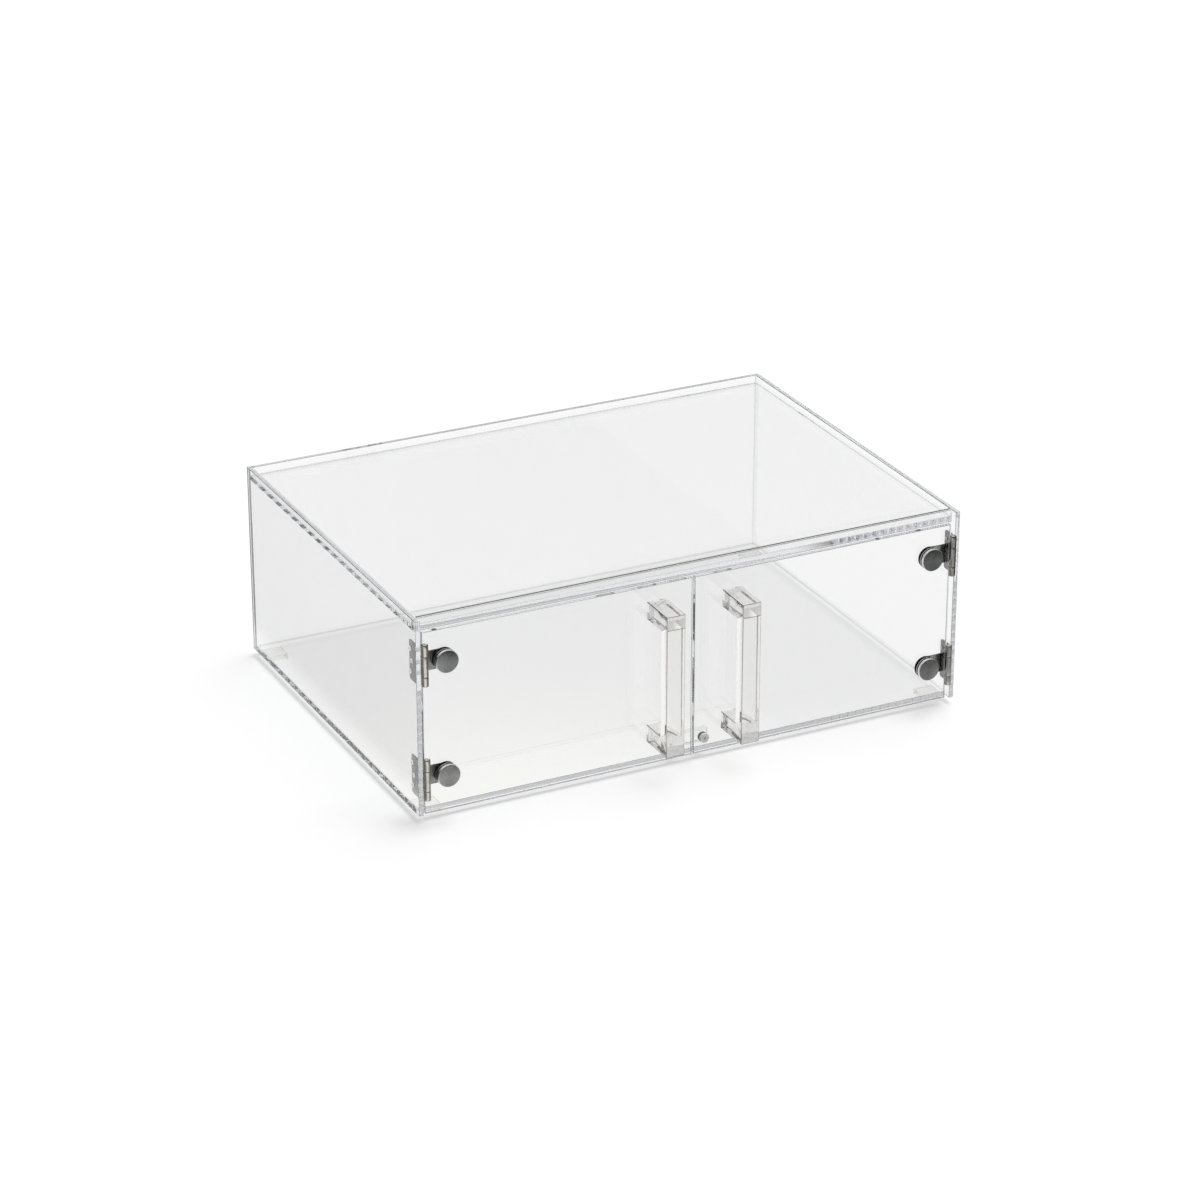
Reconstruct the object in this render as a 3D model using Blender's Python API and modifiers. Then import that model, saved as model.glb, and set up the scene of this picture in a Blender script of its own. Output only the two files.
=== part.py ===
"""Pastry display case: a clear sheet case with two hinged front doors.

Metres, +Z up. X runs across the front and the doors face -Y. The origin is on
the surface that the case stands on, under the middle of the whole object,
handles included.
"""

import math

import bmesh
import bpy
from mathutils import Matrix, Vector

# Case: outside sizes of the sheet box, without feet and handles.
case_width = 0.5334
case_depth = 0.381
case_height = 0.18415
sheet = 0.0045
sheet_edge = 0.0004
glue_gap = 0.0003
seat_gap = 0.0003
cut_overrun = 0.002

# The floor and the header lie behind the front edges of the side panels.
floor_setback = 0.0084
header_setback = 0.0070
header_height = 0.0118
top_recess = 0.0070

# Feet: square clear blocks under the floor.
foot_side = 0.019
foot_height = 0.0058
foot_side_inset = 0.007
foot_end_inset = 0.011
foot_edge = 0.0008

# Doors: they stand in front of the floor and close under the header.
door_sheet = 0.0045
door_setback = 0.0030
door_centre_gap = 0.0018
door_top_gap = 0.0006
door_drop = 0.0003

# Handles: a clear U bar on each door, a little below the case's mid-height;
# the right one sits lower than the left.
handle_width = 0.018
handle_offset = 0.0371
handle_reach = 0.0378
handle_length = 0.1350
handle_leg = 0.0165
handle_grip = 0.0116
handle_edge = 0.0012
left_handle_drop = 0.0021
right_handle_drop = 0.0053
left_handle_bottom = (case_height - handle_length) / 2 - left_handle_drop
right_handle_bottom = (case_height - handle_length) / 2 - right_handle_drop

# Hinges: heights are those of the clamp discs above the case's lower edges;
# the upper ones keep their distance from its upper edges.
lower_hinge_height = 0.0342
upper_hinge_drop = 0.04135
upper_hinge_height = case_height - upper_hinge_drop
barrel_length = 0.0384
barrel_rise = 0.0005
barrel_diameter = 0.0061
axis_inset = 0.0030
axis_lead = 0.0015
pin_diameter = 0.0028
pin_head_diameter = 0.0048
pin_head_height = 0.0006
running_clearance = 0.0003
bottom_knuckle_share = 0.22
top_knuckle_share = 0.275

leaf_thickness = 0.0007
leaf_reach = 0.0180
leaf_end_relief = 0.0004
leaf_corner = 0.0025

arm_thickness = 0.0008
arm_height = 0.0182
arm_bend = 0.0012
arm_door_clearance = 0.0004
arm_end_share = 0.98

screw_rise = 0.0107
outer_screw_reach = 0.0150
middle_screw_reach = 0.0123
screw_diameter = 0.0020
screw_head_diameter = 0.0034
screw_head_height = 0.0007
screw_length = 0.0046
screw_dome_share = 0.7
screw_tip = 0.0004

disc_diameter = 0.0211
disc_thickness = 0.0030
disc_chamfer = 0.0005
disc_offset = 0.0206
stud_diameter = 0.0040
stud_clearance = 0.0003
stud_tail = 0.0005
outer_washer_diameter = 0.0200
outer_washer_thickness = 0.0021
inner_washer_diameter = 0.0160
inner_washer_thickness = 0.0008

# Catch: a round magnet behind each door meets a steel disc on a clear block.
magnet_offset = 0.0137
magnet_height = 0.0109
magnet_diameter = 0.0088
magnet_length = 0.0050
magnet_edge = 0.0004
magnet_bore_diameter = 0.0024
magnet_bore_depth = 0.0030
strike_thickness = 0.0008
stop_block_side_margin = 0.0070
stop_block_height = 0.0120
stop_block_depth = 0.0080
stop_block_edge = 0.0004

# Sides of the round pieces.
fine_steps = 28
plain_steps = 20
small_steps = 10

# Places that follow from the sizes, measured from the case's own corner:
# across from the middle, back from the side panels' front edges, up from
# their lower edges.
half_width = case_width / 2
inner_half = half_width - sheet
door_front = door_setback
door_back = door_setback + door_sheet
handle_front = door_setback - handle_reach
middle_depth = (case_depth + handle_front) / 2
leaf_inset = seat_gap
arm_inset = leaf_inset + leaf_thickness + running_clearance
door_inset = arm_inset + arm_thickness + arm_door_clearance
door_outer = inner_half - door_inset
door_inner = door_centre_gap / 2
door_bottom = -door_drop
door_top = case_height - header_height - door_top_gap
axis_across = inner_half - axis_inset
disc_across = axis_across - disc_offset
barrel_radius = barrel_diameter / 2
bore_radius = pin_diameter / 2 + running_clearance
stud_radius = stud_diameter / 2
stud_hole_radius = stud_radius + stud_clearance
outer_washer_front = door_front - seat_gap - outer_washer_thickness
disc_back = outer_washer_front - seat_gap
disc_front = disc_back - disc_thickness
inner_washer_front = door_back + seat_gap
arm_front = inner_washer_front + inner_washer_thickness + seat_gap
arm_back = arm_front + arm_thickness
screw_hole_radius = screw_diameter / 2 + seat_gap
screw_seat = inner_half - leaf_inset - leaf_thickness - seat_gap
magnet_front = door_back + seat_gap
magnet_back = magnet_front + magnet_length
strike_front = magnet_back + seat_gap
stop_front = strike_front + strike_thickness + seat_gap
floor_top = sheet
leaf_half_height = barrel_length / 2 - leaf_end_relief

clear = ((0.86, 0.88, 0.89, 1.0), 0.04, 0.0, 0.9)
warm_clear = ((0.90, 0.89, 0.85, 1.0), 0.05, 0.0, 0.85)
brushed = ((0.42, 0.42, 0.42, 1.0), 0.35, 1.0, 0.0)
polished = ((0.62, 0.61, 0.58, 1.0), 0.18, 1.0, 0.0)
black = ((0.02, 0.02, 0.02, 1.0), 0.5, 0.0, 0.0)
grey = ((0.55, 0.56, 0.55, 1.0), 0.4, 0.0, 0.0)


def clear_scene():
    for obj in list(bpy.data.objects):
        bpy.data.objects.remove(obj, do_unlink=True)


def new_collection(name):
    collection = bpy.data.collections.new(name)
    bpy.context.scene.collection.children.link(collection)
    return collection


def place(across, back, up):
    """The point at these distances from the middle, the front edges and the lower edges."""
    return Vector((across, back - middle_depth, up + foot_height))


def finish_piece(obj, look):
    """Gives the piece its own material and the smooth shading of its round sides."""
    colour, roughness, metallic, transmission = look
    material = bpy.data.materials.new(obj.name)
    material.use_nodes = True
    shader = material.node_tree.nodes["Principled BSDF"]
    shader.inputs["Base Color"].default_value = colour
    shader.inputs["Roughness"].default_value = roughness
    shader.inputs["Metallic"].default_value = metallic
    shader.inputs["Transmission Weight"].default_value = transmission
    obj.data.materials.append(material)
    obj.data.shade_smooth()
    obj.data.set_sharp_from_angle(angle=math.radians(30.0))
    return obj


def object_from(name, bm, collection, matrix=None):
    mesh = bpy.data.meshes.new(name)
    bmesh.ops.recalc_face_normals(bm, faces=bm.faces)
    bm.to_mesh(mesh)
    bm.free()
    obj = bpy.data.objects.new(name, mesh)
    collection.objects.link(obj)
    if matrix is not None:
        obj.matrix_world = matrix
    return obj


def as_cutter(obj):
    obj.hide_render = True
    obj.display_type = "WIRE"
    return obj


def block(name, low, high, collection, edge=0.0):
    """A box between two corners, with its origin in its middle and its edges broken."""
    size = high - low
    bm = bmesh.new()
    bmesh.ops.create_cube(bm, size=1.0)
    bmesh.ops.scale(bm, vec=(abs(size.x), abs(size.y), abs(size.z)), verts=bm.verts)
    obj = object_from(name, bm, collection, Matrix.Translation((low + high) / 2))
    if edge > 0.0:
        soften(obj, edge)
    return obj


def soften(obj, edge, segments=2):
    bevel = obj.modifiers.new("edges", "BEVEL")
    bevel.width = edge
    bevel.segments = segments
    bevel.limit_method = "ANGLE"
    bevel.angle_limit = math.radians(40.0)
    return obj


def rods(name, spots, radius, length, turn, steps, collection):
    """Round rods of one size, centred on the given points and lying along the turned Z axis."""
    bm = bmesh.new()
    for spot in spots:
        bmesh.ops.create_cone(
            bm,
            cap_ends=True,
            segments=steps,
            radius1=radius,
            radius2=radius,
            depth=length,
            matrix=Matrix.Translation(spot) @ turn,
        )
    return object_from(name, bm, collection)


def turned(name, profile, steps, matrix, collection):
    """A turned piece: the profile runs down its outer side, and is closed where it misses the axis."""
    bm = bmesh.new()
    points = [bm.verts.new((radius, 0.0, height)) for radius, height in profile]
    for first, second in zip(points, points[1:]):
        bm.edges.new((first, second))
    if profile[0][0] > 0.0:
        bm.edges.new((points[-1], points[0]))
    mesh = bpy.data.meshes.new(name)
    bm.to_mesh(mesh)
    bm.free()
    obj = bpy.data.objects.new(name, mesh)
    collection.objects.link(obj)
    obj.matrix_world = matrix
    screw = obj.modifiers.new("turn", "SCREW")
    screw.steps = steps
    screw.render_steps = steps
    screw.use_merge_vertices = True
    screw.merge_threshold = 0.00001
    return obj


def outline(name, points, thickness, matrix, collection):
    """A flat outline of even thickness, made a mesh with its caps welded on."""
    curve = bpy.data.curves.new(name, "CURVE")
    curve.dimensions = "2D"
    curve.fill_mode = "BOTH"
    curve.extrude = thickness / 2
    spline = curve.splines.new("POLY")
    spline.points.add(len(points) - 1)
    for target, (first, second) in zip(spline.points, points):
        target.co = (first, second, 0.0, 1.0)
    spline.use_cyclic_u = True
    drawn = bpy.data.objects.new(name + "_outline", curve)
    collection.objects.link(drawn)
    drawn.matrix_world = matrix
    bpy.context.view_layer.update()
    evaluated = drawn.evaluated_get(bpy.context.evaluated_depsgraph_get())
    mesh = bpy.data.meshes.new_from_object(evaluated)
    bm = bmesh.new()
    bm.from_mesh(mesh)
    bmesh.ops.remove_doubles(bm, verts=bm.verts, dist=0.00001)
    world = drawn.matrix_world.copy()
    bpy.data.objects.remove(drawn, do_unlink=True)
    bpy.data.curves.remove(curve)
    bpy.data.meshes.remove(mesh)
    return object_from(name, bm, collection, world)


def combine(target, tool, operation="DIFFERENCE"):
    boolean = target.modifiers.new(tool.name, "BOOLEAN")
    boolean.operation = operation
    boolean.solver = "EXACT"
    boolean.object = as_cutter(tool)
    return target


def round_corners(obj, chosen, radius, segments):
    """Rounds the straight edges of the mesh that the test picks out."""
    bm = bmesh.new()
    bm.from_mesh(obj.data)
    edges = [edge for edge in bm.edges if chosen(edge.verts[0].co, edge.verts[1].co)]
    bmesh.ops.bevel(
        bm, geom=edges, offset=radius, segments=segments, affect="EDGES", profile=0.5
    )
    bm.to_mesh(obj.data)
    bm.free()
    return obj


# Turns that bring a rod or a turned piece from the Z axis to another one.
upright = Matrix.Identity(4)
along_x = Matrix.Rotation(math.radians(90.0), 4, "Y")
along_y = Matrix.Rotation(math.radians(90.0), 4, "X")
# A flat outline drawn in depth and height, with its thickness across.
side_on = Matrix(((0, 0, 1, 0), (1, 0, 0, 0), (0, 1, 0, 0), (0, 0, 0, 1)))

clear_scene()
parts = new_collection("pastry_display_case")
cutters = new_collection("cutters")


def sheet_panel(name, low, high):
    return finish_piece(block(name, place(*low), place(*high), parts, sheet_edge), clear)


def hinge_heights():
    return (("lower", lower_hinge_height), ("upper", upper_hinge_height))


def screw_places(height):
    """Depth and height of the three leaf screws; the middle one is nearer the front."""
    middle = height + barrel_rise
    return (
        (outer_screw_reach, middle - screw_rise),
        (middle_screw_reach, middle),
        (outer_screw_reach, middle + screw_rise),
    )


def build_case():
    back_front = case_depth - sheet
    inner_back = back_front - glue_gap
    inner_side = inner_half - glue_gap
    header_back = header_setback + sheet
    top_of_top = case_height - top_recess
    sheet_panel("floor_panel", (-inner_side, floor_setback, 0.0), (inner_side, inner_back, sheet))
    sheet_panel("back_panel", (-inner_side, back_front, 0.0), (inner_side, case_depth, case_height))
    sheet_panel(
        "front_header",
        (-inner_side, header_setback, case_height - header_height),
        (inner_side, header_back, case_height),
    )
    sheet_panel(
        "top_panel",
        (-inner_side, header_back + glue_gap, top_of_top - sheet),
        (inner_side, inner_back, top_of_top),
    )
    for label, side in (("left", -1), ("right", 1)):
        panel = sheet_panel(
            label + "_side_panel",
            (side * inner_half, 0.0, 0.0),
            (side * half_width, case_depth, case_height),
        )
        spots = []
        for _, height in hinge_heights():
            for back, up in screw_places(height):
                spots.append(place(side * inner_half, back, up))
        hole_length = 2 * (screw_length - leaf_thickness)
        holes = rods(
            label + "_screw_holes",
            spots,
            screw_hole_radius,
            hole_length,
            along_x,
            small_steps,
            cutters,
        )
        combine(panel, holes)


def build_feet():
    ends = (
        ("front", foot_end_inset, foot_end_inset + foot_side),
        ("rear", case_depth - foot_end_inset - foot_side, case_depth - foot_end_inset),
    )
    outer = half_width - foot_side_inset
    for end, near, far in ends:
        for label, side in (("left", -1), ("right", 1)):
            foot = block(
                end + "_" + label + "_foot",
                place(side * outer, near, -foot_height),
                place(side * (outer - foot_side), far, -seat_gap),
                parts,
                foot_edge,
            )
            finish_piece(foot, warm_clear)


def build_leaf(name, side, height):
    """Plate on the side panel, with the two outer knuckles; the middle is left for the arm."""
    middle = height + barrel_rise
    barrel_low = middle - barrel_length / 2
    barrel_high = middle + barrel_length / 2
    outer = inner_half - leaf_inset
    plate = block(
        name,
        place(side * outer, -axis_lead, middle - leaf_half_height),
        place(side * (outer - leaf_thickness), leaf_reach, middle + leaf_half_height),
        parts,
    )
    rear = (leaf_reach + axis_lead) / 2

    def rear_corner(first, second):
        level = abs(first.z - second.z) < leaf_end_relief and abs(first.y - second.y) < leaf_end_relief
        return level and first.y > rear - leaf_end_relief

    round_corners(plate, rear_corner, leaf_corner, 3)
    axis_spot = place(side * axis_across, -axis_lead, middle)
    barrel = rods(
        name + "_barrel", [axis_spot], barrel_radius, barrel_length, upright, plain_steps, cutters
    )
    combine(plate, barrel, "UNION")
    notch_low = barrel_low + bottom_knuckle_share * barrel_length
    notch_high = barrel_high - top_knuckle_share * barrel_length
    swing_radius = barrel_radius + running_clearance
    notch = block(
        name + "_notch",
        place(side * (axis_across - swing_radius), -axis_lead - swing_radius, notch_low),
        place(side * (axis_across + swing_radius), -axis_lead + swing_radius, notch_high),
        cutters,
    )
    combine(plate, notch)
    bore = rods(
        name + "_bore",
        [axis_spot],
        bore_radius,
        barrel_length + 2 * cut_overrun,
        upright,
        small_steps,
        cutters,
    )
    combine(plate, bore)
    spots = [place(side * outer, back, up) for back, up in screw_places(height)]
    holes = rods(
        name + "_screw_holes",
        spots,
        screw_hole_radius,
        2 * cut_overrun,
        along_x,
        small_steps,
        cutters,
    )
    combine(plate, holes)
    return finish_piece(plate, brushed)


def build_pin(name, side, height):
    """Pin with a low domed head at each end, just clear of the knuckles."""
    radius = pin_diameter / 2
    head_radius = pin_head_diameter / 2
    seat = barrel_length / 2 + running_clearance
    tip = seat + pin_head_height
    shoulder = seat + pin_head_height / 3
    profile = [
        (0.0, tip),
        (head_radius * 2 / 3, tip),
        (head_radius, shoulder),
        (head_radius, seat),
        (radius, seat),
        (radius, -seat),
        (head_radius, -seat),
        (head_radius, -shoulder),
        (head_radius * 2 / 3, -tip),
        (0.0, -tip),
    ]
    spot = Matrix.Translation(place(side * axis_across, -axis_lead, height + barrel_rise))
    return finish_piece(turned(name, profile, small_steps, spot, parts), polished)


def build_screws(name, side, height):
    """Three domed screws, from the inside through the leaf into the side panel."""
    radius = screw_diameter / 2
    head_radius = screw_head_diameter / 2
    profile = [
        (0.0, screw_head_height),
        (head_radius * screw_dome_share, screw_head_height),
        (head_radius, 0.0),
        (radius, 0.0),
        (radius, screw_tip - screw_length),
        (radius - screw_tip, -screw_length),
        (0.0, -screw_length),
    ]
    inwards = Matrix.Rotation(math.radians(-90.0 * side), 4, "Y")
    made = []
    for label, (back, up) in zip(("bottom", "middle", "top"), screw_places(height)):
        spot = Matrix.Translation(place(side * screw_seat, back, up)) @ inwards
        screw = turned(name + "_" + label + "_screw", profile, small_steps, spot, parts)
        made.append(finish_piece(screw, polished))
    return made


def build_arm(name, side, height):
    """Strip from the middle knuckle, past the door's edge and round behind the door."""
    outer = inner_half - arm_inset
    inner = outer - arm_thickness
    knuckle_wall = (bore_radius + barrel_radius) / 2
    start = knuckle_wall - axis_lead
    end = disc_across - arm_height / 2
    bend_steps = 4
    outer_radius = arm_bend + arm_thickness
    corner = (inner - arm_bend, arm_front - arm_bend)

    def arc(radius):
        turns = [step / bend_steps * math.pi / 2 for step in range(bend_steps + 1)]
        return [(corner[0] + radius * math.cos(a), corner[1] + radius * math.sin(a)) for a in turns]

    strip = [(outer, start)] + arc(outer_radius) + [(end, arm_back), (end, arm_front)]
    strip += list(reversed(arc(arm_bend))) + [(inner, start)]
    points = [(side * across, back) for across, back in strip]
    arm = outline(name, points, arm_height, Matrix.Translation(place(0.0, 0.0, height)), parts)
    reach = abs(end)

    def free_end(first, second):
        at_end = abs(abs(first.x) - reach) < arm_thickness and abs(abs(second.x) - reach) < arm_thickness
        return at_end and abs(first.z - second.z) < arm_thickness and first.y != second.y

    round_corners(arm, free_end, arm_end_share * arm_height / 2, 8)
    barrel_middle = height + barrel_rise
    low = barrel_middle - barrel_length / 2 + bottom_knuckle_share * barrel_length + running_clearance
    high = barrel_middle + barrel_length / 2 - top_knuckle_share * barrel_length - running_clearance
    axis_spot = place(side * axis_across, -axis_lead, (low + high) / 2)
    knuckle = rods(
        name + "_knuckle", [axis_spot], barrel_radius, high - low, upright, plain_steps, cutters
    )
    combine(arm, knuckle, "UNION")
    bore = rods(
        name + "_bore", [axis_spot], bore_radius, barrel_length, upright, small_steps, cutters
    )
    combine(arm, bore)
    stud_hole = rods(
        name + "_stud_hole",
        [place(side * disc_across, arm_front, height)],
        stud_hole_radius,
        2 * cut_overrun,
        along_y,
        small_steps,
        cutters,
    )
    combine(arm, stud_hole)
    return finish_piece(arm, brushed)


def facing_front(across, back, height):
    """Places a turned piece with its top towards the front."""
    return Matrix.Translation(place(across, back, height)) @ along_y


def ring(name, outer_radius, inner_radius, thickness, matrix, steps):
    profile = [
        (outer_radius, thickness),
        (outer_radius, 0.0),
        (inner_radius, 0.0),
        (inner_radius, thickness),
    ]
    return turned(name, profile, steps, matrix, parts)


def build_clamp(prefix, side, height):
    """Disc with its stud, and the washers on both faces of the door."""
    across = side * disc_across
    radius = disc_diameter / 2
    stud_end = disc_back - arm_back - stud_tail
    profile = [
        (0.0, disc_thickness),
        (radius - disc_chamfer, disc_thickness),
        (radius, disc_thickness - disc_chamfer),
        (radius, 0.0),
        (stud_radius, 0.0),
        (stud_radius, stud_end),
        (0.0, stud_end),
    ]
    disc = turned(prefix + "_disc", profile, fine_steps, facing_front(across, disc_back, height), parts)
    finish_piece(disc, brushed)
    outer = ring(
        prefix + "_outer_washer",
        outer_washer_diameter / 2,
        stud_hole_radius,
        outer_washer_thickness,
        facing_front(across, outer_washer_front + outer_washer_thickness, height),
        fine_steps,
    )
    finish_piece(outer, black)
    inner = ring(
        prefix + "_inner_washer",
        inner_washer_diameter / 2,
        stud_hole_radius,
        inner_washer_thickness,
        facing_front(across, inner_washer_front + inner_washer_thickness, height),
        plain_steps,
    )
    finish_piece(inner, black)
    return [disc, outer, inner]


def build_door(label, side):
    door = sheet_panel(
        label + "_door_panel",
        (side * door_inner, door_front, door_bottom),
        (side * door_outer, door_back, door_top),
    )
    spots = [place(side * disc_across, door_back, height) for _, height in hinge_heights()]
    holes = rods(
        label + "_door_holes",
        spots,
        stud_hole_radius,
        2 * (door_sheet + cut_overrun),
        along_y,
        small_steps,
        cutters,
    )
    combine(door, holes)
    return door


def build_handle(label, side, bottom):
    """A U bar: two legs against the door and an upright grip."""
    top = bottom + handle_length
    foot = door_front - seat_gap
    grip_back = handle_front + handle_grip
    points = [
        (handle_front, bottom),
        (foot, bottom),
        (foot, bottom + handle_leg),
        (grip_back, bottom + handle_leg),
        (grip_back, top - handle_leg),
        (foot, top - handle_leg),
        (foot, top),
        (handle_front, top),
    ]
    matrix = Matrix.Translation(place(side * handle_offset, 0.0, 0.0)) @ side_on
    handle = outline(label + "_handle", points, handle_width, matrix, parts)
    soften(handle, handle_edge)
    return finish_piece(handle, warm_clear)


def build_magnet(label, side):
    """Round magnet on the back of the door, with its blind bore towards the door."""
    radius = magnet_diameter / 2
    bore = magnet_bore_diameter / 2
    floor_of_bore = magnet_length - magnet_bore_depth
    profile = [
        (0.0, floor_of_bore),
        (bore, floor_of_bore),
        (bore, magnet_length),
        (radius - magnet_edge, magnet_length),
        (radius, magnet_length - magnet_edge),
        (radius, 0.0),
        (0.0, 0.0),
    ]
    matrix = facing_front(side * magnet_offset, magnet_back, magnet_height)
    return finish_piece(turned(label + "_magnet", profile, plain_steps, matrix, parts), grey)


def build_catch():
    half_block = magnet_offset + stop_block_side_margin
    bottom = floor_top + seat_gap
    stop = block(
        "stop_block",
        place(-half_block, stop_front, bottom),
        place(half_block, stop_front + stop_block_depth, bottom + stop_block_height),
        parts,
        stop_block_edge,
    )
    finish_piece(stop, clear)
    for label, side in (("left", -1), ("right", 1)):
        spot = place(side * magnet_offset, strike_front + strike_thickness / 2, magnet_height)
        strike = rods(
            label + "_strike",
            [spot],
            magnet_diameter / 2,
            strike_thickness,
            along_y,
            plain_steps,
            parts,
        )
        finish_piece(strike, polished)


def hang(pieces, label, side):
    """Parents the door's pieces to an empty that stands on the hinge axis."""
    axis = bpy.data.objects.new(label + "_door_axis", None)
    axis.empty_display_type = "SINGLE_ARROW"
    axis.empty_display_size = case_height
    axis.location = place(side * axis_across, -axis_lead, 0.0)
    parts.objects.link(axis)
    bpy.context.view_layer.update()
    for piece in pieces:
        piece.parent = axis
        piece.matrix_parent_inverse = axis.matrix_world.inverted()


def build_doors():
    bottoms = {"left": left_handle_bottom, "right": right_handle_bottom}
    for label, side in (("left", -1), ("right", 1)):
        moving = [
            build_door(label, side),
            build_handle(label, side, bottoms[label]),
            build_magnet(label, side),
        ]
        for level, height in hinge_heights():
            prefix = label + "_" + level
            build_leaf(prefix + "_leaf", side, height)
            build_pin(prefix + "_pin", side, height)
            build_screws(prefix, side, height)
            moving.append(build_arm(prefix + "_arm", side, height))
            moving += build_clamp(prefix, side, height)
        hang(moving, label, side)


build_case()
build_feet()
build_catch()
build_doors()
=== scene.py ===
"""Looks of the pastry display case, laid over the packed frame.

Metres, +Z up, in the frame of the CAD model. Run as a script. Each operator
finishes one piece or group of like pieces, and the last one sets the stage.
"""

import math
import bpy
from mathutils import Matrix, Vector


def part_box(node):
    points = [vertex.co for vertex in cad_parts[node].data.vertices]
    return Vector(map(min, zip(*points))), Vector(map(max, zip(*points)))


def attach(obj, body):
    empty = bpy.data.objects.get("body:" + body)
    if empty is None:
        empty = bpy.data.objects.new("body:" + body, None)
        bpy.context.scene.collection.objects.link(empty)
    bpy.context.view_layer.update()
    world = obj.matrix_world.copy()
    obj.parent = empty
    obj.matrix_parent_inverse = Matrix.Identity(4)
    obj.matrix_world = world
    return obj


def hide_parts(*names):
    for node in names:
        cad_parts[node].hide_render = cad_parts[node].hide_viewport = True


bl_info = {
    "name": "Pastry Display Case",
    "version": (1, 0, 0),
    "blender": (4, 5, 0),
    "location": "View3D > Sidebar > Display Case",
    "description": "Clear sheet, hinges, handles and catch of a pastry display case",
    "category": "Object",
}

import bmesh
import bpy
from bpy.props import FloatProperty, FloatVectorProperty, IntProperty, PointerProperty
from mathutils import Matrix, Vector

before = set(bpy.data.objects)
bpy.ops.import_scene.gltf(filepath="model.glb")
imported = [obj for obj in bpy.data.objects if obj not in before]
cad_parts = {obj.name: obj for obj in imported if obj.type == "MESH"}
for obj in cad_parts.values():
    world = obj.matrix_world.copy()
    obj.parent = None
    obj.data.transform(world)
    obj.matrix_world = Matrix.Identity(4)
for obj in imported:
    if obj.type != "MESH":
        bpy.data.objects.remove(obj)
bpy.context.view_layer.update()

SIDES = (("left", -1), ("right", 1))
LEVELS = ("lower", "upper")
UPRIGHT = (0.0, 0.0, 0.0)
FRONTWARDS = (math.radians(90.0), 0.0, 0.0)

# The axis, from 0 for X to 2 for Z, along which each sheet of the case is thin.
CASE_SHEETS = {"floor_panel": 2, "top_panel": 2, "back_panel": 1, "front_header": 1}
CASE_SHEETS.update(left_side_panel=0, right_side_panel=0)

# Material slots of a sheet.
FACE, EDGE, LINE, DARK_STRIP, GLUED, FLOOR = range(6)

# Grains of steel per metre along X, Y and Z.
BRUSHED = (2500.0, 2500.0, 120.0)
EVEN_GRAIN = (2500.0, 2500.0, 2500.0)
FINE_GRAIN = (3000.0, 3000.0, 3000.0)

# Spacing of the marks on sawn and rounded bar, and radius of a washer's hole, in metres.
SAW_MARK = 0.003
WASHER_BORE = 0.0023

# Sides of the small turned pieces.
KNUCKLE_STEPS, SCREW_STEPS, HOLE_STEPS = 48, 32, 28

# V of the "turn" map per metre of a turned profile.
TURN_MAP_SCALE = 20.0

# Areas of the floor with painted light and shade, seen only in clear sheet: a warm pool of light at the front
# left, a shadow on the left, shade in reflections. Each soft edge is an axis, where the area starts and where
# it is in full.
WARM_LIGHT_AREA = (("X", 0.12, -0.12), ("X", -0.3, -0.26), ("Y", 0.1, -0.15), ("Y", -0.3, -0.2))
LEFT_SHADOW_AREA = (("X", -0.275, -0.3), ("X", -1.2, -0.9), ("Y", -0.35, -0.2), ("Y", 1.2, 0.9))
FRONT_SHADE_AREA = (("X", -0.3, 0.1), ("Y", -0.18, -0.24))
RIGHT_SHADE_AREA = (("X", 0.42, 0.5), ("Y", -0.45, -0.35))
FAR_FRONT_SHADE_AREA = (("Y", -0.6, -1.2),)


def tint(name, description, default):
    return FloatVectorProperty(
        name=name, description=description, subtype="COLOR", size=3, min=0.0, max=1.0, default=default
    )


def length(name, description, default):
    return FloatProperty(
        name=name, description=description, subtype="DISTANCE", unit="LENGTH", min=0.0, default=default
    )


def amount(name, description, default):
    return FloatProperty(name=name, description=description, min=0.0, default=default)


def angle(name, description, degrees):
    return FloatProperty(
        name=name, description=description, subtype="ANGLE", unit="ROTATION", default=math.radians(degrees)
    )


# Settings


class ClearSheetSettings(bpy.types.PropertyGroup):
    """Clear sheet of the case and doors"""

    face_tint: tint("Face Tint", "Colour that each face of the sheet passes", (0.998, 0.999, 0.998))
    shade_tint: tint("Shade Tint", "Share of lamp light that each face passes on", (0.972, 0.973, 0.974))
    floor_shade: tint("Floor Shade", "Share of lamp light that a floor face passes on", (0.88, 0.88, 0.88))
    depth_tint: tint("Depth Tint", "Colour that light takes along the sheet", (0.42, 0.48, 0.56))
    depth_density: amount("Depth Density", "How fast light fades along the sheet, per metre", 0.85)
    edge_roughness: amount("Edge Roughness", "Roughness of the cut edges", 0.015)
    edge_mark: length("Edge Mark", "Spacing of the cutter's marks along an edge", 0.0015)
    # Painted shade: a grey tint on the broken edges and corners, for the dark lines that clear edges show.
    broken_edge_shade: tint("Edge Line", "Colour that each broken edge passes", (0.85, 0.86, 0.88))
    # Painted shade: a black strip along the rear top edge of the header stands for the dark line that the
    # clear sheet shows there.
    header_line: tint("Header Line", "Colour of the sawn rear edge of the header", (0.03, 0.03, 0.032))
    header_line_width: length("Header Line Width", "Width of that sawn edge", 0.0023)
    ripple: length("Ripple", "Length of the faint waves in a cast face", 0.04)
    smear: amount("Smear", "Roughness that wiping adds to a face in patches", 0.02)
    broken_roughness: amount("Broken Roughness", "Roughness of broken edges and glued ends", 0.3)
    seam_overlap: length("Seam Overlap", "How far a bond reaches into the sheets that it joins", 0.001)
    seam_inset: length("Seam Inset", "How far a bond stays below the faces of its sheet", 0.00006)


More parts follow.
